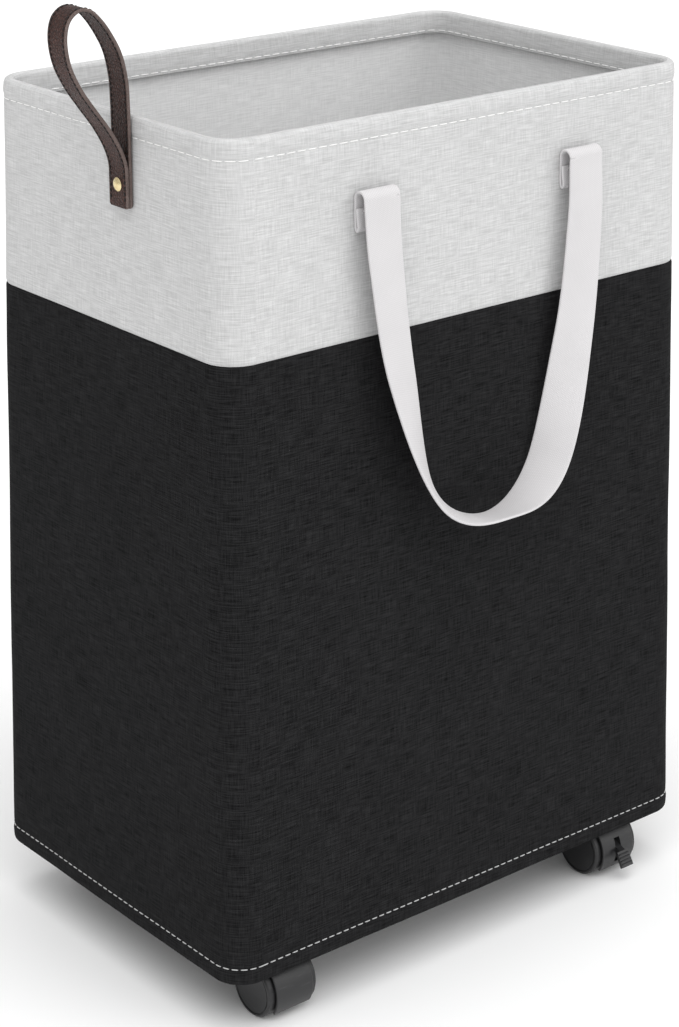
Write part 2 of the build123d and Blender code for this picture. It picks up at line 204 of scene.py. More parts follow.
def grained_leather(name, deep, raised, rough, grain):
    s = Shader(name, Specular_IOR_Level=0.18)
    place = s.place()
    cells = s.node("ShaderNodeTexVoronoi", feature="DISTANCE_TO_EDGE")
    s.give(cells.inputs["Vector"], place)
    cells.inputs["Scale"].default_value = grain
    creases = s.span(cells.outputs["Distance"], 0.0, 0.25)
    mottle = s.noise(place, 160.0, 4.0, 0.6)
    wear = s.noise(place, 45.0, 3.0, 0.6)
    # Painted shade: the grain creases are coloured towards the near-black first colour, standing in for shade in
    # the creases; the mottle and the broad wear noise vary the leather's own tone.
    tone = s.math("MULTIPLY", s.math("ADD", creases, mottle), s.span(wear, 0.25, 0.75, 0.35, 0.65))
    height = s.math("ADD", creases, s.math("MULTIPLY", mottle, 0.6))
    return s.finish(s.mix(tone, deep, raised), s.span(wear, 0.3, 0.7, rough, rough + 0.14),
                    height, 0.5 * MM, 1.0)


def moulded(name, colour, worn, rough):
    """Moulded plastic with a fine spark texture and faint scuffs."""
    s = Shader(name, Specular_IOR_Level=0.5)
    place = s.place()
    spark = s.noise(place, 2200.0, 2.0)
    scuffs = s.noise(s.scaled(place, (60.0, 60.0, 420.0)), 1.0, 4.0, 0.7)
    tone = s.span(scuffs, 0.55, 0.8)
    return s.finish(s.mix(tone, colour, worn), s.span(scuffs, 0.35, 0.75, rough, rough + 0.16),
                    spark, 0.04 * MM, 0.4)


def metal(name, colour, dull, rough):
    s = Shader(name, Metallic=1.0)
    place = s.place()
    drawn = s.noise(s.scaled(place, (900.0, 900.0, 120.0)), 1.0, 3.0)
    spots = s.noise(place, 180.0, 4.0, 0.65)
    return s.finish(s.mix(s.span(spots, 0.35, 0.7), dull, colour),
                    s.span(drawn, 0.3, 0.7, rough, rough + 0.15), drawn, 0.02 * MM, 0.3)


def fibreboard():
    s = Shader("fibreboard", Specular_IOR_Level=0.3)
    place = s.place()
    chips = s.noise(s.scaled(place, (260.0, 700.0, 500.0)), 1.0, 5.0, 0.7)
    return s.finish(s.mix(s.span(chips, 0.3, 0.7), rgb(0.30, 0.19, 0.10), rgb(0.55, 0.40, 0.25)),
                    s.span(chips, 0.3, 0.7, 0.65, 0.85), chips, 0.1 * MM, 0.4)


def fluted_board():
    """Twin-wall sheet: flutes that run up the wall."""
    s = Shader("twin_wall_board", Specular_IOR_Level=0.4)
    place = s.place()
    parts = s.node("ShaderNodeSeparateXYZ", (place,))
    around = s.math("ADD", parts.outputs[0], parts.outputs[1])
    flutes = s.math("SINE", s.math("MULTIPLY", around, 2 * math.pi / (4.5 * MM)))
    dust = s.noise(place, 40.0, 3.0)
    return s.finish(s.mix(dust, rgb(0.55, 0.54, 0.50), rgb(0.78, 0.77, 0.73)),
                    s.span(dust, 0.3, 0.7, 0.4, 0.6), flutes, 0.15 * MM, 0.5)


def cell_foam():
    s = Shader("cell_foam", Specular_IOR_Level=0.2)
    place = s.place()
    cells = s.noise(place, 900.0, 3.0)
    return s.finish(s.mix(cells, rgb(0.72, 0.72, 0.70), rgb(0.90, 0.90, 0.88)),
                    s.span(cells, 0.3, 0.7, 0.8, 0.95), cells, 0.2 * MM, 0.5)


def thread(name, colour, bright):
    """Sewing thread, with its twist as bump."""
    s = Shader(name, Sheen_Weight=0.15, Specular_IOR_Level=0.3)
    place = s.place()
    twist = s.noise(place, 2600.0, 2.0)
    return s.finish(s.mix(twist, colour, bright), s.span(twist, 0.3, 0.7, 0.55, 0.75),
                    twist, 0.08 * MM, 0.5)


LIGHT_CLOTH = woven("light_cloth", rgb(0.43, 0.43, 0.43), rgb(0.68, 0.68, 0.68), 1.1 * MM, 0.8, 0.02)
BLACK_CLOTH = woven("black_cloth", rgb(0.002, 0.002, 0.0022), rgb(0.028, 0.028, 0.029),
                    1.1 * MM, 0.8, 0.0, 0.04)
LINING_CLOTH = woven("lining_cloth", rgb(0.68, 0.68, 0.68), rgb(0.92, 0.92, 0.92), 1.0 * MM, 0.8, 0.02)
PAD_CLOTH = woven("pad_cloth", rgb(0.40, 0.40, 0.40), rgb(0.60, 0.60, 0.60), 1.0 * MM, 0.8, 0.02)
WEBBING = webbing_cloth()
# Each leather's first colour is mostly painted shade for the grain creases.
LEATHER = grained_leather("leather", rgb(0.004, 0.0015, 0.0012), rgb(0.085, 0.038, 0.030), 0.36, 420.0)
LEATHER_EDGE = grained_leather("leather_edge", rgb(0.10, 0.065, 0.055), rgb(0.34, 0.27, 0.25), 0.6, 1500.0)
WHITE_THREAD = thread("white_thread", rgb(0.80, 0.80, 0.79), rgb(0.95, 0.95, 0.94))
GREY_THREAD = thread("grey_thread", rgb(0.35, 0.35, 0.35), rgb(0.55, 0.55, 0.55))
BLACK_THREAD = thread("black_thread", rgb(0.003, 0.003, 0.003), rgb(0.010, 0.010, 0.010))
HOOD_PLASTIC = moulded("hood_plastic", rgb(0.014, 0.014, 0.015), rgb(0.04, 0.04, 0.042), 0.33)
WHEEL_PLASTIC = moulded("wheel_plastic", rgb(0.011, 0.011, 0.012), rgb(0.035, 0.035, 0.037), 0.36)
STEEL = metal("zinc_steel", rgb(0.72, 0.72, 0.74), rgb(0.45, 0.45, 0.47), 0.28)
BRASS = metal("rivet_brass", rgb(0.86, 0.73, 0.44), rgb(0.66, 0.52, 0.28), 0.22)

SLOT_MATERIALS = {
    "light_fabric": LIGHT_CLOTH,
    "black_fabric": BLACK_CLOTH,
    "lining_fabric": LINING_CLOTH,
    "stiffener_board": fluted_board(),
    "foam": cell_foam(),
    "wire": STEEL,
    "steel": STEEL,
    "base_wood": fibreboard(),
    "webbing": WEBBING,
    "leather": LEATHER,
    "brass": BRASS,
    "black_plastic": HOOD_PLASTIC,
    "wheel_plastic": WHEEL_PLASTIC,
}


def dress_cad_nodes():
    """Every carried-over CAD node takes the detailed material of its slot."""
    slots = {part["node"]: part["material_slot"] for part in frame["record"]["subparts"]}
    for name, piece in frame["nodes"].items():
        piece.data.materials.clear()
        piece.data.materials.append(SLOT_MATERIALS[slots[name]])


# ---- mesh building ------------------------------------------------------
def new_piece(name, points, faces, uvs, materials, body, slot, face_materials=None):
    """A smooth mesh object from points, faces and one (u, v) per face corner."""
    mesh = bpy.data.meshes.new(name)
    mesh.from_pydata([tuple(p) for p in points], [], faces)
    for material in materials:
        mesh.materials.append(material)
    layer = mesh.uv_layers.new(name="metres")
    flat = [value for face in uvs for pair in face for value in pair]
    layer.data.foreach_set("uv", flat)
    mesh.polygons.foreach_set("use_smooth", [True] * len(mesh.polygons))
    if face_materials:
        mesh.polygons.foreach_set("material_index", face_materials)
    mesh.validate()
    mesh.update()
    piece = bpy.data.objects.new(name, mesh)
    bpy.context.scene.collection.objects.link(piece)
    if body:
        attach(piece, body)
    return piece


def ring_mesh(rows, around, up):
    """Points, faces and uvs of rows of points that each close on themselves."""
    count = len(rows[0])
    points = [p for row in rows for p in row]
    faces, uvs = [], []
    for r in range(len(rows) - 1):
        for c in range(count):
            d = (c + 1) % count
            faces.append((r * count + c, r * count + d, (r + 1) * count + d, (r + 1) * count + c))
            uvs.append(((around[c], up[r]), (around[c + 1], up[r]),
                        (around[c + 1], up[r + 1]), (around[c], up[r + 1])))
    return points, faces, uvs


SIDE_STEPS = {0: 64, 1: 44}
CORNER_STEPS = 14


def loop_parameters():
    """Where the columns of cloth stand: (side, how far along it), round the body."""
    places = []
    for side in range(4):
        steps = SIDE_STEPS[side % 2]
        places += [(side, "flat", i / steps) for i in range(steps)]
        places += [(side, "corner", i / CORNER_STEPS) for i in range(CORNER_STEPS)]
    return places


COLUMNS = loop_parameters()
SIDE_NORMAL = [Vector((0, -1, 0)), Vector((1, 0, 0)), Vector((0, 1, 0)), Vector((-1, 0, 0))]
SIDE_RUN = [Vector((1, 0, 0)), Vector((0, 1, 0)), Vector((-1, 0, 0)), Vector((0, -1, 0))]


def outline_point(place, z, inset):
    """Point and outward normal on the rounded outline, going round from front left."""
    side, kind, f = place
    radius = CORNER_RADIUS - inset
    half = [size_at(z, 0) / 2 - inset, size_at(z, 1) / 2 - inset]
    out, run = SIDE_NORMAL[side], SIDE_RUN[side]
    reach = half[0] if side % 2 else half[1]
    length = half[1] if side % 2 else half[0]
    if kind == "flat":
        along = (2 * f - 1) * (length - radius)
        point = out * reach + run * along
        normal = out.copy()
    else:
        angle = f * math.pi / 2
        normal = out * math.cos(angle) + run * math.sin(angle)
        point = out * (reach - radius) + run * (length - radius) + normal * radius
    return Vector((point.x, point.y, z)), normal


def ripple(point, reach, strength, seed):
    """Soft unevenness of sewn cloth over its boards, in metres."""
    place = Vector((point.x, point.y, point.z)) / reach + Vector((seed, seed * 0.7, seed * 1.3))
    return strength * noise.noise(place)


OUTER_SEED, LINING_SEED, BOTTOM_SEED = 3.1, 8.4, 6.2
LIGHT_WAVE, BLACK_WAVE, LINING_WAVE = 0.5 * MM, 0.6 * MM, 0.7 * MM


def wave(point, strength, seed):
    """A broad and a fine ripple together: how far the cloth stands out here."""
    return ripple(point, 0.12, strength, seed) + ripple(point, 0.035, 0.3 * strength, seed + 5)


def cloth_row(z, inset, strength, seed=OUTER_SEED):
    """One row of cloth points round the body."""
    row = []
    for place in COLUMNS:
        point, normal = outline_point(place, z, inset)
        row.append(point + normal * wave(point, strength, seed))
    return row


def lengths_round(z):
    """Running length at each column, with the closing length at the end."""
    points = [outline_point(place, z, 0)[0] for place in COLUMNS]
    total, out = 0.0, [0.0]
    for i, point in enumerate(points):
        total += (points[(i + 1) % len(points)] - point).length
        out.append(total)
    return out


def profile_lengths(profile):
    """Running length up a profile of (z, inset) pairs."""
    out = [0.0]
    for (z0, i0), (z1, i1) in zip(profile, profile[1:]):
        out.append(out[-1] + math.hypot(z1 - z0, i1 - i0))
    return out


def steps_between(low, high, count):
    return [low + (high - low) * i / count for i in range(count + 1)]


def arc(centre_z, centre_inset, radius, start, end, count):
    """Profile points on an arc; 180 degrees is outwards and 90 is up."""
    out = []
    for i in range(count + 1):
        angle = math.radians(start + (end - start) * i / count)
        out.append((centre_z + radius * math.sin(angle), centre_inset + radius * math.cos(angle)))
    return out


TOP_STITCH = RIM - 14.5 * MM
HEM_EDGE = RIM - 18 * MM
HEM_STITCH = RIM - 15.5 * MM
BOTTOM_STITCH = UNDERSIDE + 13.5 * MM
SEAM_DIP = 0.9 * MM
STITCH_DIP = 0.5 * MM
HEM_INSET = 9.7 * MM


def upper_profile():
    """Light cloth from the seam, over the rim and down the hem inside."""
    roll = RIM_WIDTH / 2
    profile = [(SEAM, SEAM_DIP), (SEAM + 0.8 * MM, 0.35 * MM), (SEAM + 2.2 * MM, 0.0)]
    profile += [(z, 0.0) for z in steps_between(SEAM + 6 * MM, TOP_STITCH - 4 * MM, 22)]
    profile += [(TOP_STITCH - 1.6 * MM, 0.15 * MM), (TOP_STITCH - 0.6 * MM, STITCH_DIP)]
    profile += [(TOP_STITCH + 0.6 * MM, STITCH_DIP), (TOP_STITCH + 1.8 * MM, 0.1 * MM)]
    profile += [(TOP_STITCH + 4.5 * MM, -0.5 * MM), (TOP_STITCH + 7.5 * MM, -0.4 * MM)]
    profile += arc(RIM - roll, roll, roll, 175, 5, 12)
    profile += [(HEM_STITCH + 6.0 * MM, 9.0 * MM), (HEM_STITCH + 2.0 * MM, 9.8 * MM)]
    profile += [(HEM_STITCH + 0.6 * MM, HEM_INSET), (HEM_STITCH - 0.6 * MM, HEM_INSET)]
    profile += [(HEM_EDGE + 0.8 * MM, 10.3 * MM), (HEM_EDGE, 9.8 * MM)]
    profile += [(HEM_EDGE + 0.2 * MM, 9.0 * MM), (HEM_EDGE + 3 * MM, 7.0 * MM)]
    return profile


def lower_profile():
    """Black cloth from the seam down to the hem under the base."""
    edge = 3 * MM
    profile = [(SEAM, SEAM_DIP), (SEAM - 0.8 * MM, 0.35 * MM), (SEAM - 2.2 * MM, 0.0)]
    profile += [(z, 0.0) for z in steps_between(SEAM - 8 * MM, BOTTOM_STITCH + 5 * MM, 44)]
    profile += [(BOTTOM_STITCH + 1.6 * MM, 0.15 * MM), (BOTTOM_STITCH + 0.6 * MM, STITCH_DIP)]
    profile += [(BOTTOM_STITCH - 0.6 * MM, STITCH_DIP), (BOTTOM_STITCH - 1.8 * MM, 0.1 * MM)]
    profile += [(BOTTOM_STITCH - 4.5 * MM, -0.4 * MM), (BOTTOM_STITCH - 7.0 * MM, -0.3 * MM)]
    profile += arc(UNDERSIDE + edge, edge, edge, 180, 270, 6)
    profile += [(UNDERSIDE, 9 * MM), (UNDERSIDE - 0.2 * MM, 14 * MM), (UNDERSIDE + 0.5 * MM, 15.5 * MM)]
    return profile


def make_band(name, profile, material, slot, nodes, strength, flat_height):
    rows = [cloth_row(z, inset, strength) for z, inset in profile]
    around = lengths_round((profile[0][0] + profile[-1][0]) / 2)
    up = profile_lengths(profile)
    piece = new_piece(name, *ring_mesh(rows, around, up), [material], "hamper", slot)
    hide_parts(*nodes)
    return piece


def make_outer_cloth():
    upper, lower = upper_profile(), lower_profile()
    make_band("upper_cloth", upper, LIGHT_CLOTH, "light_fabric", ["upper_fabric"],
              LIGHT_WAVE, profile_lengths(upper)[-1])
    make_band("lower_cloth", lower, BLACK_CLOTH, "black_fabric", ["lower_fabric"],
              BLACK_WAVE, profile_lengths(lower)[-1])


def make_lining():
    """Inner bag: walls, a soft turn at the floor, and the floor itself."""
    turn = 9 * MM
    profile = [(z, LINING_INSET) for z in steps_between(RIM - 12 * MM, FLOOR_INSIDE + turn, 46)]
    bend = arc(FLOOR_INSIDE + turn, LINING_INSET + turn, turn, 180, 270, 6)[1:]
    profile += bend
    profile += [(FLOOR_INSIDE, inset) for inset in steps_between(18 * MM, 26 * MM, 2)]
    rows = [cloth_row(z, inset, LINING_WAVE, LINING_SEED) for z, inset in profile]
    around = lengths_round(SEAM)
    up = profile_lengths(profile)
    centre = Vector((0, 0, FLOOR_INSIDE))
    for share in (0.9, 0.75, 0.55, 0.35, 0.18, 0.05):
        rows.append([centre + (p - centre) * share for p in rows[len(profile) - 1]])
        up.append(up[-1] + 0.02)
    points, faces, uvs = ring_mesh(rows, around, up)
    last = [len(points) - len(COLUMNS) + i for i in range(len(COLUMNS))]
    faces.append(tuple(last))
    uvs.append([(points[i].x, points[i].y) for i in last])
    piece = new_piece("lining_bag", points, faces, uvs, [LINING_CLOTH], "hamper", "lining_fabric")
    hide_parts("lining")


BOTTOM_INSET = 13 * MM
STEM_HOLE = 6.5 * MM
STEM_HOLE_STEPS = 28


def closed_loop(first, count):
    """Edges of a ring of points that starts at index first."""
    return [(first + i, first + (i + 1) % count) for i in range(count)]


def make_bottom_cloth():
    """Black cloth under the base board, held by the bottom hem, with a hole round each stem."""
    flat = [outline_point(place, UNDERSIDE, BOTTOM_INSET)[0].to_2d() for place in COLUMNS]
    edges = closed_loop(0, len(flat))
    stems = []
    for node in sorted(frame["nodes"]):
        if not node.endswith("_caster_stem"):
            continue
        low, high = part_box(node)
        middle = (Vector(low) + Vector(high)).to_2d() / 2
        edges += closed_loop(len(flat), STEM_HOLE_STEPS)
        for i in range(STEM_HOLE_STEPS):
            angle = 2 * math.pi * i / STEM_HOLE_STEPS
            flat.append(middle + STEM_HOLE * Vector((math.cos(angle), math.sin(angle))))
        stems.append(middle)
    reach = [size_at(UNDERSIDE, axis) / 2 - 20 * MM for axis in (0, 1)]
    half_columns, half_rows = 15, 10
    for i in range(1, 2 * half_columns):
        for j in range(1, 2 * half_rows):
            spot = Vector((reach[0] * (i / half_columns - 1), reach[1] * (j / half_rows - 1)))
            if all((spot - stem).length > STEM_HOLE + 4 * MM for stem in stems):
                flat.append(spot)
    inside_with_holes = 2
    made = geometry.delaunay_2d_cdt(flat, edges, [], inside_with_holes, 1e-7)
    points = []
    for spot in made[0]:
        level = Vector((spot.x, spot.y, UNDERSIDE))
        points.append(level + Vector((0, 0, 0.15 * MM + ripple(level, 0.08, 0.3 * MM, BOTTOM_SEED))))
    faces = [tuple(reversed(face)) for face in made[2]]
    uvs = [[(points[i].x, points[i].y) for i in face] for face in faces]
    piece = new_piece("bottom_cloth", points, faces, uvs, [BLACK_CLOTH], "hamper", "black_fabric")
    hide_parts("bottom_panel")


# ---- stitching ----------------------------------------------------------
STITCH_RING = 7
STITCH_RINGS = ((-0.5, 0.25), (-0.42, 0.75), (-0.2, 1.0), (0.2, 1.0), (0.42, 0.75), (0.5, 0.25))


def add_stitch(points, faces, middle, run, out, length, radius):
    """One stitch: a short thread with its ends pulled into the cloth."""
    side = run.cross(out).normalized()
    start = len(points)
    for along, fat in STITCH_RINGS:
        sink = (1 - fat) * radius * 1.1
        centre = middle + run * (along * length) - out * sink
        for k in range(STITCH_RING):
            angle = 2 * math.pi * k / STITCH_RING
            offset = side * math.cos(angle) + out * math.sin(angle)
            points.append(centre + offset * radius * fat)
    rings = len(STITCH_RINGS)
    for r in range(rings - 1):
        for k in range(STITCH_RING):
            n = (k + 1) % STITCH_RING
            a, b = start + r * STITCH_RING, start + (r + 1) * STITCH_RING
            faces.append((a + k, a + n, b + n, b + k))
    faces.append(tuple(start + k for k in reversed(range(STITCH_RING))))
    end = start + (rings - 1) * STITCH_RING
    faces.append(tuple(end + k for k in range(STITCH_RING)))


def sew(name, seams, pitch, dash, radius, material, body, slot):
    """Stitches along each seam, a list of (point, outward) pairs."""
    points, faces = [], []
    for seam in seams:
        travelled, due = 0.0, pitch / 2
        for (p, n), (q, m) in zip(seam, seam[1:]):
            step = (q - p).length
            while step > 0 and travelled + step >= due:
                f = (due - travelled) / step
                add_stitch(points, faces, p.lerp(q, f), (q - p).normalized(),
                           n.lerp(m, f).normalized(), dash, radius)
                due += pitch
            travelled += step
    uvs = [[(points[i].x, points[i].z) for i in face] for face in faces]
    return new_piece(name, points, faces, uvs, [material], body, slot)


STITCH_LIFT = 0.25 * MM


def round_seam(z, inset, out_sign=1.0, strength=LIGHT_WAVE):
    """A closed seam round the body, on the cloth's own unevenness; out_sign is -1 inside."""
    seam = []
    for place in COLUMNS + COLUMNS[:1]:
        point, normal = outline_point(place, z, inset)
        out = wave(point, strength, OUTER_SEED)
        seam.append((point + normal * (out + STITCH_LIFT * out_sign), normal * out_sign))
    return seam


def make_body_stitching():
    sew("rim_stitching", [round_seam(TOP_STITCH, STITCH_DIP)], 9 * MM, 7.4 * MM, 0.42 * MM,
        WHITE_THREAD, "hamper", "light_fabric")
    sew("hem_stitching", [round_seam(HEM_STITCH, HEM_INSET, out_sign=-1.0)], 9 * MM, 7.4 * MM, 0.42 * MM,
        WHITE_THREAD, "hamper", "light_fabric")
    sew("base_stitching", [round_seam(BOTTOM_STITCH, STITCH_DIP, strength=BLACK_WAVE)], 6.9 * MM, 5.1 * MM,
        0.45 * MM, GREY_THREAD, "hamper", "black_fabric")


# ---- straps -------------------------------------------------------------
def strap_section(width, thick, across, groove_at=0.0, groove=0.0):
    """Closed outline of a strap's section as (across, out) pairs, edges rounded."""
    round_off = thick * 0.45
    flat = width / 2 - round_off
    top = []
    for i in range(across + 1):
        x = -flat + 2 * flat * i / across
        dip = groove * math.exp(-((abs(x) - groove_at) / (0.5 * MM)) ** 2) if groove else 0.0
        top.append((x, thick / 2 - dip))
    edge = []
    for i in range(1, 6):
        angle = math.pi / 2 - math.pi * i / 6
        edge.append((flat + round_off * math.cos(angle), thick / 2 * math.sin(angle)))
    bottom = [(-x, -y) for x, y in top]
    other = [(-x, -y) for x, y in edge]
    return top + edge + bottom + other


def strap_mesh(stations, section, round_ends=0.0):
    """Points, faces and uvs of a strap; a station is (middle, across, out)."""
    count = len(section)
    half = max(x for x, y in section)
    points = []
    for i, (middle, across, out) in enumerate(stations):
        end = stations[0][0] if i < len(stations) / 2 else stations[-1][0]
        short = max(0.0, round_ends - (middle - end).length)
        shrink = round_ends - math.sqrt(max(0.0, round_ends ** 2 - short ** 2))
        fit = 1 - shrink / half
        points += [middle + across * (x * fit) + out * y for x, y in section]
    girth = [0.0]
    for i in range(count):
        (x0, y0), (x1, y1) = section[i], section[(i + 1) % count]
        girth.append(girth[-1] + math.hypot(x1 - x0, y1 - y0))
    faces, uvs, length = [], [], 0.0
    for r in range(len(stations) - 1):
        step = (stations[r + 1][0] - stations[r][0]).length
        for c in range(count):
            d = (c + 1) % count
            faces.append((r * count + c, r * count + d, (r + 1) * count + d, (r + 1) * count + c))
            uvs.append(((girth[c], length), (girth[c + 1], length),
                        (girth[c + 1], length + step), (girth[c], length + step)))
        length += step
    for ring, order in ((0, reversed(range(count))), (len(stations) - 1, range(count))):
        cap = tuple(ring * count + c for c in order)
        faces.append(cap)
        uvs.append([(section[i % count][0], section[i % count][1]) for i in cap])
    return points, faces, uvs


def smooth_values(values, t, mirror=1):
    """Catmull-Rom value at t from 0 to 1; mirror continues it past the first value."""
    last = len(values) - 1
    i = min(int(t * last), last - 1)
    f = t * last - i
    here, there = values[i], values[i + 1]
    before = mirror * there if i == 0 else values[i - 1]
    after = values[i + 2] if i + 2 <= last else 2 * there - here
    return 0.5 * (
        2 * here
        + (there - before) * f
        + (2 * before - 5 * here + 4 * there - after) * f ** 2
        + (3 * here - before - 3 * there + after) * f ** 3
    )


# ---- webbing handles ----------------------------------------------------
FRONT_SWING = pivot("front_handle_swing")
CENTRE, FOLD_Z = FRONT_SWING.x, FRONT_SWING.z
FOLD_MIDDLE = -FRONT_SWING.y
SPACING = 194 * MM          # between a handle's two sewn ends
FOLD_RADIUS = 5.2 * MM
WEB_WIDTH, WEB_THICK = 32 * MM, 1.9 * MM
TAB_LOW = 595.5 * MM

# The hanging loop, from its middle outwards to one fold.
ASIDE = (0.0, 53.0, 83.0, 95.0, 97.0)
DROP = (251.0, 227.0, 132.0, 48.0, 0.0)
TURN = (101.0, 62.0, 18.0, 5.0, 0.0)
OFF_WALL = (24.0, 19.0, 15.5, 13.5, 11.7)

# Side view of a sewn end: (off the wall, height above the tab's bottom) in mm.
TAB_SIDE = [(3.2, 15.6), (3.4, 10.5), (4.0, 5.0), (4.2, 1.6), (2.6, -0.4),
            (1.3, 1.6), (1.1, 5.0), (1.1, 10.5), (1.2, 16.5), (1.3, 21.8)]


def through(points, steps):
    """A smooth path through points, with that many steps between neighbours."""
    path = []
    for i in range(len(points) - 1):
        before = points[i - 1] if i else 2 * points[0] - points[1]
        here, there = points[i], points[i + 1]
        after = points[i + 2] if i + 2 < len(points) else 2 * there - here
        for k in range(steps):
            f = k / steps
            path.append(0.5 * (2 * here + (there - before) * f
                               + (2 * before - 5 * here + 4 * there - after) * f ** 2
                               + (3 * here - before - 3 * there + after) * f ** 3))
    return path + [points[-1]]


def loop_middle(t):
    """Middle of the hanging webbing; t runs from -1 at the left fold to 1 at the right."""
    x = CENTRE + math.copysign(smooth_values(ASIDE, abs(t), mirror=-1) * MM, t)
    z = FOLD_Z - smooth_values(DROP, abs(t)) * MM
    y = -size_at(z, 1) / 2 - smooth_values(OFF_WALL, abs(t)) * MM
    return Vector((x, y, z))


def loop_across(t):
    """Direction across the hanging webbing: away from the loop's middle, then turned on edge."""
    step = 0.01
    run = loop_middle(min(t + step, 1)) - loop_middle(max(t - step, -1))
    run = Vector((run.x, 0, run.z)).normalized()
    turn = math.radians(smooth_values(TURN, abs(t)))
    return Vector((run.z, 0, -run.x)) * math.cos(turn) + FRONT * math.sin(turn)


FRONT = Vector((0, -1, 0))
LEFT = Vector((-1, 0, 0))


def sewn_end():
    """Left end of the front strap: up inside the tab, over the fold, facing left."""
    x = CENTRE - SPACING / 2
    side = []
    for off, up in TAB_SIDE:
        z = TAB_LOW + up * MM
        side.append(Vector((x, -size_at(z, 1) / 2 - off * MM, z)))
    path = through(side, 5)
    centre = Vector((x, -FOLD_MIDDLE, FOLD_Z))
    for i in range(44):
        angle = math.pi * i / 44
        path.append(centre + Vector((0, math.cos(angle), math.sin(angle))) * FOLD_RADIUS)
    return [(point, LEFT) for point in path]


def other_end(station):
    """The same place on the right sewn end, mirrored about the handle's middle."""
    middle, across = station
    return Vector((2 * CENTRE - middle.x, middle.y, middle.z)), -across


def half_turned(station):
    return tuple(Vector((-v.x, -v.y, v.z)) for v in station)


def with_normals(path):
    """Add to each (middle, across) the direction out of the strap's face."""
    stations = []
    for i, (middle, across) in enumerate(path):
        run = path[min(i + 1, len(path) - 1)][0] - path[max(i - 1, 0)][0]
        stations.append((middle, across, run.cross(across).normalized()))
    return stations


def webbing_path():
    end = sewn_end()
    steps = 170
    hanging = [2 * i / steps - 1 for i in range(steps + 1)]
    loop = [(loop_middle(t), loop_across(t)) for t in hanging]
    return end + loop + [other_end(station) for station in reversed(end)]


def tab_seams(x):
    """Box and cross stitching on a sewn end, drawn on its outer face."""
    half, low, high = 11.5 * MM, TAB_LOW + 3.0 * MM, TAB_LOW + 14.0 * MM
    corners = [(-half, low), (half, low), (half, high), (-half, high)]
    runs = list(zip(corners, corners[1:] + corners[:1]))
    runs += [(corners[0], corners[2]), (corners[1], corners[3])]

    def on_tab(spot):
        return Vector((x + spot[0], -size_at(spot[1], 1) / 2 - 4.1 * MM, spot[1]))

    return [[(on_tab(a), FRONT), (on_tab(b), FRONT)] for a, b in runs]


def make_webbing_handles():
    section = strap_section(WEB_WIDTH, WEB_THICK, 14)
    ends = [CENTRE + side * SPACING / 2 for side in (-1, 1)]
    seams = [seam for x in ends for seam in tab_seams(x)]
    for side, sign in (("front", 1), ("back", -1)):
        path = webbing_path()
        if sign < 0:
            path = [half_turned(station) for station in path]
        points, faces, uvs = strap_mesh(with_normals(path), section)
        strap = new_piece(f"{side}_webbing_strap", points, faces, uvs, [WEBBING], None, "webbing")
        tabs = [f"{side}_{end}_webbing_tab" for end in ("left", "right")]
        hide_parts(f"{side}_webbing", *tabs)
        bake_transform(strap)
        strap_length(path)
        these = seams if sign > 0 else [[half_turned(place) for place in seam] for seam in seams]
        sew(f"{side}_tab_stitching", these, 3.2 * MM, 2.4 * MM, 0.3 * MM,
            WHITE_THREAD, "hamper", "webbing")


def strap_length(path):
    return sum((b[0] - a[0]).length for a, b in zip(path, path[1:]))


# ---- leather handle -----------------------------------------------------
LEATHER_Y, RIVET_Z = pivot("side_handle_swivel").yz
LEATHER_WIDTH, LEATHER_THICK = 22 * MM, 2.5 * MM
LEATHER_STITCH = 8.3 * MM

# Side view of the doubled strap from its outer end: (off the wall, height) in mm.
LEATHER_SIDE = [
    (4.8, 608.0), (4.8, 618.0), (4.8, 628.0), (5.4, 638.5), (9.6, 650.5), (18.0, 665.0),
    (29.5, 680.5), (40.0, 695.5), (48.0, 712.0), (50.8, 729.0), (48.0, 742.0), (40.0, 748.5),
    (31.0, 747.6), (23.5, 741.5), (15.5, 731.0), (7.5, 716.0), (3.2, 698.0), (2.2, 680.0),
    (2.0, 660.0), (2.0, 640.0), (2.0, 624.0), (2.0, 608.0),
]


def leather_stations():
    wall = -size_at(RIVET_Z, 0) / 2
    side = [Vector((wall - off * MM, LEATHER_Y, z * MM)) for off, z in LEATHER_SIDE]
    across = Vector((0, 1, 0))
    return with_normals([(point, across) for point in through(side, 9)])


def make_leather_handle():
    across = 22
    section = strap_section(LEATHER_WIDTH, LEATHER_THICK, across, LEATHER_STITCH, 0.3 * MM)
    stations = leather_stations()
    points, faces, uvs = strap_mesh(stations, section, round_ends=1.5 * MM)
    edge_faces = set(range(across, across + 6)) | set(range(2 * across + 6, 2 * across + 12))
    band = [1 if i % len(section) in edge_faces else 0 for i in range(len(faces) - 2)]
    strap = new_piece("leather_strap", points, faces, uvs, [LEATHER, LEATHER_EDGE],
                      "side_handle", "leather", band + [1, 1])
    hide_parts("leather_handle")
    strap_length(stations)
    seams = []
    for edge in (-1, 1):
        for face in (-1, 1):
            lift = LEATHER_THICK / 2 + 0.05 * MM
            seams.append([(m + a * edge * LEATHER_STITCH + n * face * lift, n * face)
                          for m, a, n in stations[4:-4]])
    sew("leather_stitching", seams, 4.0 * MM, 2.9 * MM, 0.48 * MM,
        BLACK_THREAD, "side_handle", "leather")


# ---- floor pad ----------------------------------------------------------
PAD_CORNER = 18 * MM
PIPING = 1.9 * MM


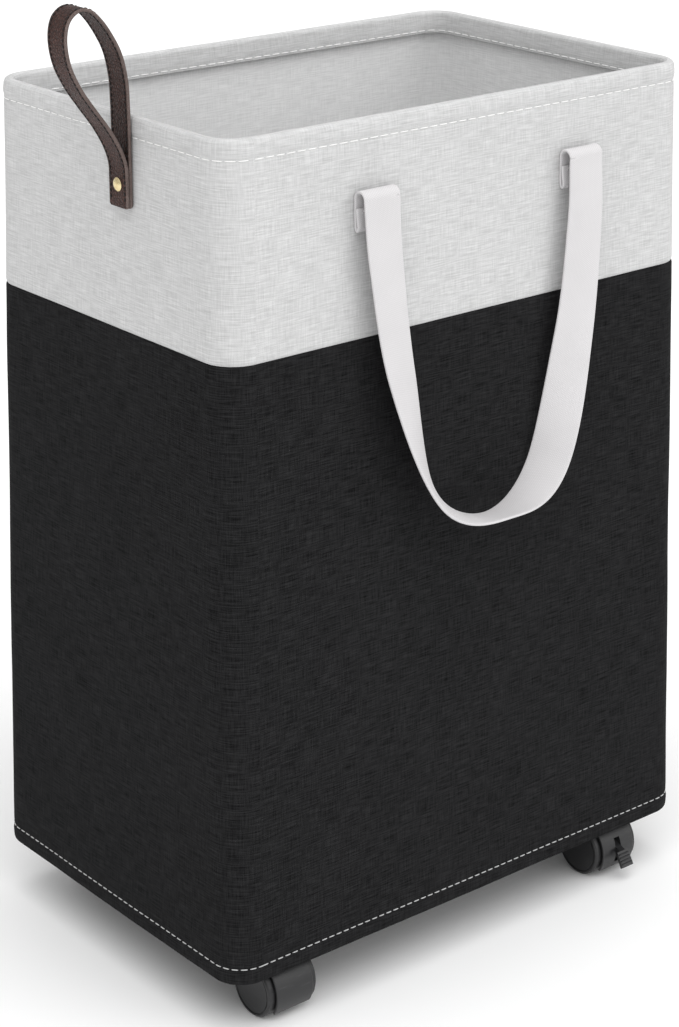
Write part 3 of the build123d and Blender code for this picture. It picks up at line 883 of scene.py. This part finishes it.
def pad_outline(inset):
    """Rounded outline of the pad, going round, as points at z 0."""
    half_x = (PAD_HIGH.x - PAD_LOW.x) / 2 - inset
    half_y = (PAD_HIGH.y - PAD_LOW.y) / 2 - inset
    radius = PAD_CORNER - inset
    row = []
    for side, kind, f in COLUMNS:
        out, run = SIDE_NORMAL[side], SIDE_RUN[side]
        reach, length = (half_x, half_y) if side % 2 else (half_y, half_x)
        if kind == "flat":
            row.append(out * reach + run * ((2 * f - 1) * (length - radius)))
        else:
            angle = f * math.pi / 2
            turn = out * math.cos(angle) + run * math.sin(angle)
            row.append(out * (reach - radius) + run * (length - radius) + turn * radius)
    return row


def quilting(x, y):
    """0 in a sewn channel of the pad and 1 between the channels."""
    pitch = 66 * MM
    away = min(abs(math.sin(math.pi * x / pitch)), abs(math.sin(math.pi * y / pitch)))
    return 1 - math.exp(-(away / 0.09) ** 2)


def make_floor_pad():
    """Thin quilted pad: crowned faces meeting in a piped edge."""
    middle = (PAD_LOW.z + PAD_HIGH.z) / 2
    half = (PAD_HIGH.z - PAD_LOW.z) / 2
    outline = pad_outline(PIPING)
    shares = [0.03] + [0.04 + 0.96 * math.sin(math.pi / 2 * i / 46) for i in range(1, 47)]
    rows, up = [], []
    for face in (-1, 1):
        order = shares if face < 0 else list(reversed(shares))[1:]
        for share in order:
            row = []
            for p in outline:
                x, y = p.x * share, p.y * share
                edge = min(1.0, (1 - share) / 0.05)
                swell = math.sqrt(max(0.0, 1 - (1 - edge) ** 2))
                swell *= 0.62 + 0.38 * quilting(x, y)
                row.append(Vector((x, y, middle + face * half * (0.12 + 0.84 * swell))))
            rows.append(row)
            up.append(face * (1 - share) * 0.2)
    around = lengths_round(UNDERSIDE)
    points, faces, uvs = ring_mesh(rows, around, up)
    count = len(outline)
    faces.append(tuple(reversed(range(count))))
    faces.append(tuple(len(points) - count + i for i in range(count)))
    uvs = [[(points[i].x, points[i].y) for i in face] for face in faces]
    pad = new_piece("quilted_pad", points, faces, uvs, [PAD_CLOTH], "floor_pad", "lining_fabric")
    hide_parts("floor_pad")
    make_piping(outline, middle)


def make_piping(outline, z):
    ring = 10
    rows = []
    count = len(outline)
    for i, point in enumerate(outline):
        run = (outline[(i + 1) % count] - outline[i - 1]).normalized()
        out = run.cross(Vector((0, 0, 1)))
        row = []
        for k in range(ring):
            angle = 2 * math.pi * k / ring
            offset = out * math.cos(angle) + Vector((0, 0, 1)) * math.sin(angle)
            row.append(point + Vector((0, 0, z)) + offset * PIPING)
        rows.append(row)
    rows.append(rows[0])
    girth = [2 * math.pi * PIPING * k / ring for k in range(ring + 1)]
    points, faces, uvs = ring_mesh(rows, girth, [i * 5 * MM for i in range(count + 1)])
    last = count * ring
    faces = [tuple(i - last if i >= last else i for i in face) for face in faces]
    new_piece("pad_piping", points[:last], faces, uvs, [LIGHT_CLOTH], "floor_pad", "light_fabric")


# ---- stage --------------------------------------------------------------
def soft_sun(name, come_from, strength, spread):
    """Even light from one side; spread is how wide the source looks, in degrees."""
    lamp = bpy.data.lights.new(name, "SUN")
    lamp.energy = strength
    lamp.angle = math.radians(spread)
    lamp_object = bpy.data.objects.new(name, lamp)
    bpy.context.scene.collection.objects.link(lamp_object)
    lamp_object.rotation_euler = Vector(come_from).to_track_quat("Z", "Y").to_euler()


def make_stage():
    half = 30.0
    corners_of_floor = [(-half, -half, 0), (half, -half, 0), (half, half, 0), (-half, half, 0)]
    mesh = bpy.data.meshes.new("studio_floor")
    mesh.from_pydata(corners_of_floor, [], [(0, 1, 2, 3)])
    floor = bpy.data.objects.new("studio_floor", mesh)
    paper = Shader("studio_paper", Base_Color=rgb(0.95, 0.95, 0.95), Roughness=1.0, Specular_IOR_Level=0.0)
    mesh.materials.append(paper.material)
    bpy.context.scene.collection.objects.link(floor)

    world = bpy.data.worlds.new("studio")
    world.use_nodes = True
    sky = world.node_tree.nodes["Background"]
    sky.inputs["Color"].default_value = rgb(1.0, 1.0, 1.0)
    sky.inputs["Strength"].default_value = 0.66
    bpy.context.scene.world = world

    soft_sun("front_light", (0.6, -1.0, 0.7), 0.7, 50)
    soft_sun("corner_light", (-0.7, -1.0, 0.35), 0.12, 30)
    soft_sun("top_light", (-0.2, -0.3, 1.0), 1.7, 60)
    bpy.context.scene.view_settings.view_transform = "Standard"
    bpy.context.scene.view_settings.look = "None"


CAMERA_PLACE = (-1.18895, -1.44944, 1.05246)
CAMERA_TILT, CAMERA_TURN = 90 - 19.137, -39.257      # degrees from straight down, and about Z
CAMERA_LENS, CAMERA_SENSOR = 89.6, 36.0
CAMERA_SHIFT = -0.0998


def make_camera():
    camera = bpy.data.cameras.new("camera")
    camera.lens = CAMERA_LENS
    camera.sensor_width = CAMERA_SENSOR
    camera.shift_y = CAMERA_SHIFT
    camera.clip_end = 200.0
    view = bpy.data.objects.new("camera", camera)
    bpy.context.scene.collection.objects.link(view)
    view.location = CAMERA_PLACE
    view.rotation_euler = (math.radians(CAMERA_TILT), 0, math.radians(CAMERA_TURN))
    bpy.context.scene.camera = view


dress_cad_nodes()
make_outer_cloth()
make_lining()
make_bottom_cloth()
make_body_stitching()
make_webbing_handles()
make_leather_handle()
make_floor_pad()
make_stage()
make_camera()
